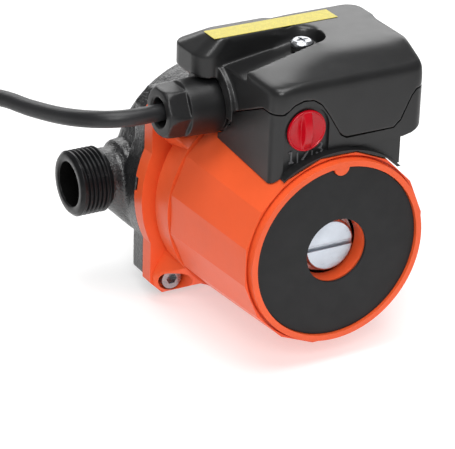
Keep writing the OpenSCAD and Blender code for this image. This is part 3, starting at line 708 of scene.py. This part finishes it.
def groove_share(x, y, z):
    """The far wall of the screw's groove, which slopes gently down from the label's ledge."""
    floor_z, front_y, ledge_y = 66.5, -58.2, -51.6
    left_x, right_x = -24, 12
    along = np.minimum(right_x - x, x - left_x) / 3
    return np.minimum.reduce([z - floor_z, (ledge_y - y) / 0.6, (y - front_y) / 1.5, along])


def make_cover():
    cover = soft_cast("terminal_box_cover", "box_cover", "box_plastic", "cover", voxel=0.5, rounds=7)
    melt(cover, front_block_share, 45)
    melt(cover, ridge_share, 260)
    melt(cover, groove_share, 60)


KNOB_R = 8.0


def knob_depth(x, z):
    """How far the knob's face lies behind its highest point, from mm beside and above the knob's middle."""
    bar_half, bar_flank = 1.45, 0.75
    dome_drop, dome_reach = 1.75, 7.4
    hollow_shallow, hollow_more, hollow_reach = 1.85, 0.75, 7.6
    rim_depth, rim_start, rim_flank = 1.6, 7.2, 0.25
    edge_drop, edge_width = 0.3, 0.35
    r = math.hypot(x, z)
    bar_top = dome_drop * (abs(z) / dome_reach) ** 2
    hollow = hollow_shallow + hollow_more * math.cos(min(1, r / hollow_reach) * math.pi / 2)
    beside_bar = ease((abs(x) - bar_half) / bar_flank)
    inside = bar_top * (1 - beside_bar) + hollow * beside_bar
    on_rim = clamp((r - rim_start) / rim_flank)
    edge = max(0.0, (r - (KNOB_R - edge_width)) / edge_width)
    return inside * (1 - on_rim) + rim_depth * on_rim + edge_drop * edge * edge


def make_knob():
    """Speed knob: a thin disc with a hollow on each side of an upright grip bar that rises to a dome."""
    steps, rings, angle = 144, 60, 50
    cx, _, cz = middle("speed_knob")
    front_y = round(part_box("speed_knob")[0].y / MM, 1)
    back_y = front_y + 2.75
    verts = []
    for i in range(rings + 1):
        r = KNOB_R * (i / rings) ** 0.8
        for t in ring_angles(steps):
            x, z = r * math.cos(t), r * math.sin(t)
            verts.append(((cx + x) * MM, (front_y + knob_depth(x, z)) * MM, (cz + z) * MM))
    for t in ring_angles(steps):
        verts.append(((cx + KNOB_R * math.cos(t)) * MM, back_y * MM, (cz + KNOB_R * math.sin(t)) * MM))
    back_face = tuple((rings + 1) * steps + k for k in range(steps))
    knob = add_mesh("knob_face", verts, [*ring_faces(rings + 2, steps), back_face], "knob_red", "knob", angle)
    weld(knob, 1e-7, angle)
    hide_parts("speed_knob")
    stem = lathe("knob_stem", [(-90.7, 0.05), (-90.7, 2.5), (-87.0, 2.5), (-86.5, 2.1), (-86.5, 0.05)], "Y",
                 (cx, 0, cz), "knob_red", "knob", steps=32)


# Strokes of each digit about its middle, the digits' middles as x and z in mm, and the ribs' ends.
DIGITS = {
    "1": [[(-0.7, 1.3), (0.15, 1.9), (0.15, -1.9)], [(-0.7, -1.9), (1.0, -1.9)]],
    "2": [[(-1.0, 1.1), (-0.75, 1.65), (0, 1.9), (0.8, 1.6), (1.0, 0.9), (0.6, 0.1), (-1.0, -1.9),
           (1.1, -1.9)]],
    "3": [[(-0.95, 1.4), (-0.3, 1.9), (0.5, 1.85), (0.95, 1.2), (0.6, 0.35), (-0.1, 0.1), (0.65, -0.15),
           (1.05, -0.95), (0.6, -1.7), (-0.2, -1.9), (-1.0, -1.4)]],
}
DIGIT_PLACES = {"1": (-18.4, 39.7), "2": (-12.2, 40.1), "3": (-6.3, 41.2)}
RIBS = [((-15.5, 41.2), (-15.3, 36.4)), ((-9.2, 40.8), (-9.1, 36.8))]


def make_digits():
    """Raised 1 2 3 under the knob and the fine ribs between them, in a lighter grey that is a painted
    highlight for their lit edges.
    """
    floor_y = -90.3
    for digit, (x, z) in DIGIT_PLACES.items():
        for n, stroke in enumerate(DIGITS[digit]):
            path = [(x + 1.15 * px, floor_y - 0.1, z + 1.2 * pz) for px, pz in stroke]
            tube(f"digit_{digit}_{n}", path, 0.46, "digit_grey", sides=8)
    for n, ends in enumerate(RIBS):
        path = [(x, floor_y, z) for x, z in ends]
        tube(f"digit_rib_{n}", path, 0.32, "digit_grey", sides=8)


def make_gland():
    """Dome nut, part round and part hexagon with domed corners, and the ribbed body behind it."""
    steps, angle = 180, 28
    hexagon_half = 9.35
    _, gy, gz = middle("gland_nut")
    round_end = [(-27.4, 11.3), (-27.9, 11.45), (-32, 11.2), (-38, 10.95), (-40.6, 10.85), (-41.2, 10.75)]
    hexagon = [(-41.6, 10.6), (-43.5, 10.55), (-46.5, 10.45), (-48.2, 10.2), (-49.2, 9.75), (-49.85, 9.1),
               (-50.0, 8.2)]
    mouth = [(-50.0, 6.4), (-49.6, 5.75), (-48.5, 5.5), (-44, 5.4)]
    profile = round_end + hexagon + mouth
    verts = []
    for x, r in profile:
        for t in ring_angles(steps):
            flat = hexagon_half / math.cos((t % (math.pi / 3)) - math.pi / 6)
            rr = min(r, flat) if (x, r) in hexagon else r
            verts.append((x * MM, (gy + rr * math.cos(t)) * MM, (gz + rr * math.sin(t)) * MM))
    nut = add_mesh("gland_dome_nut", verts, ring_faces(len(profile), steps), "gland_plastic", "nut", angle)
    modifier(nut, "BEVEL", width=0.25 * MM, segments=2, limit_method="ANGLE", angle_limit=math.radians(angle))
    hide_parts("gland_nut")
    ribs = [(-21.9, 5.7), (-22.0, 11.2), (-22.3, 11.5), (-22.9, 11.5), (-23.1, 11.2), (-23.3, 10.5),
            (-23.9, 10.5), (-24.1, 11.2), (-24.3, 11.5), (-25.0, 11.5), (-25.2, 11.2), (-25.4, 10.5),
            (-26.0, 10.5), (-26.2, 11.0), (-26.9, 11.1), (-27.1, 10.9), (-27.1, 7.4), (-39, 7.4), (-39, 5.7)]
    body = lathe("gland_ribbed_body", ribs, "X", (0, gy, gz), "gland_plastic")
    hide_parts("gland_body")


# ---------------------------------------------------------------- CAD nodes shown as they are
# Material, width of the rounded edges in mm, segments in a round, and the angle that makes an edge.
OUTER_PARTS = {
    "motor_housing": ("motor_paint", 0.45, 3, 14),
    "terminal_box_base": ("box_plastic", 0.35, 3, 24),
    "vent_plug": ("nickel_brass", 0.25, 3, 24),
    "flange_screws": ("zinc_screw", 0.35, 3, 24),
    "cover_screw": ("zinc_screw", 0.35, 3, 20),
    "nameplate": ("plate_black", 0.2, 2, 24),
    "cover_label": ("label_yellow", 0),
    "screw_seal": ("seal_rubber", 0.3, 2, 24),
    "vent_seal": ("seal_rubber", 0.3, 2, 24),
}
INNER_PARTS = {
    "neck_ring": "brass_part", "casing_gasket": "seal_rubber", "bearing_plate": "stainless",
    "rotor_can": "stainless", "front_bearing": "carbon", "rear_bearing": "carbon", "shaft": "ceramic",
    "rotor_core": "rotor_steel", "thrust_washer": "ceramic", "impeller": "impeller_plastic",
    "stator_core": "lamination", "stator_windings": "copper_wire", "speed_switch": "white_plastic",
    "run_capacitor": "white_plastic", "terminal_block": "white_plastic", "terminal_screws": "brass_part",
    "box_screws": "zinc_screw", "supply_leads": "lead_cores", "gland_seal": "seal_rubber",
}

make_camera()
make_lights()
make_floor()
make_lead()
make_casing()
make_cover()
make_knob()
make_digits()
make_gland()
for node, finish in OUTER_PARTS.items():
    dressed(node, *finish)
for node, material in INNER_PARTS.items():
    dressed(node, material, 0.25, 2, 28)
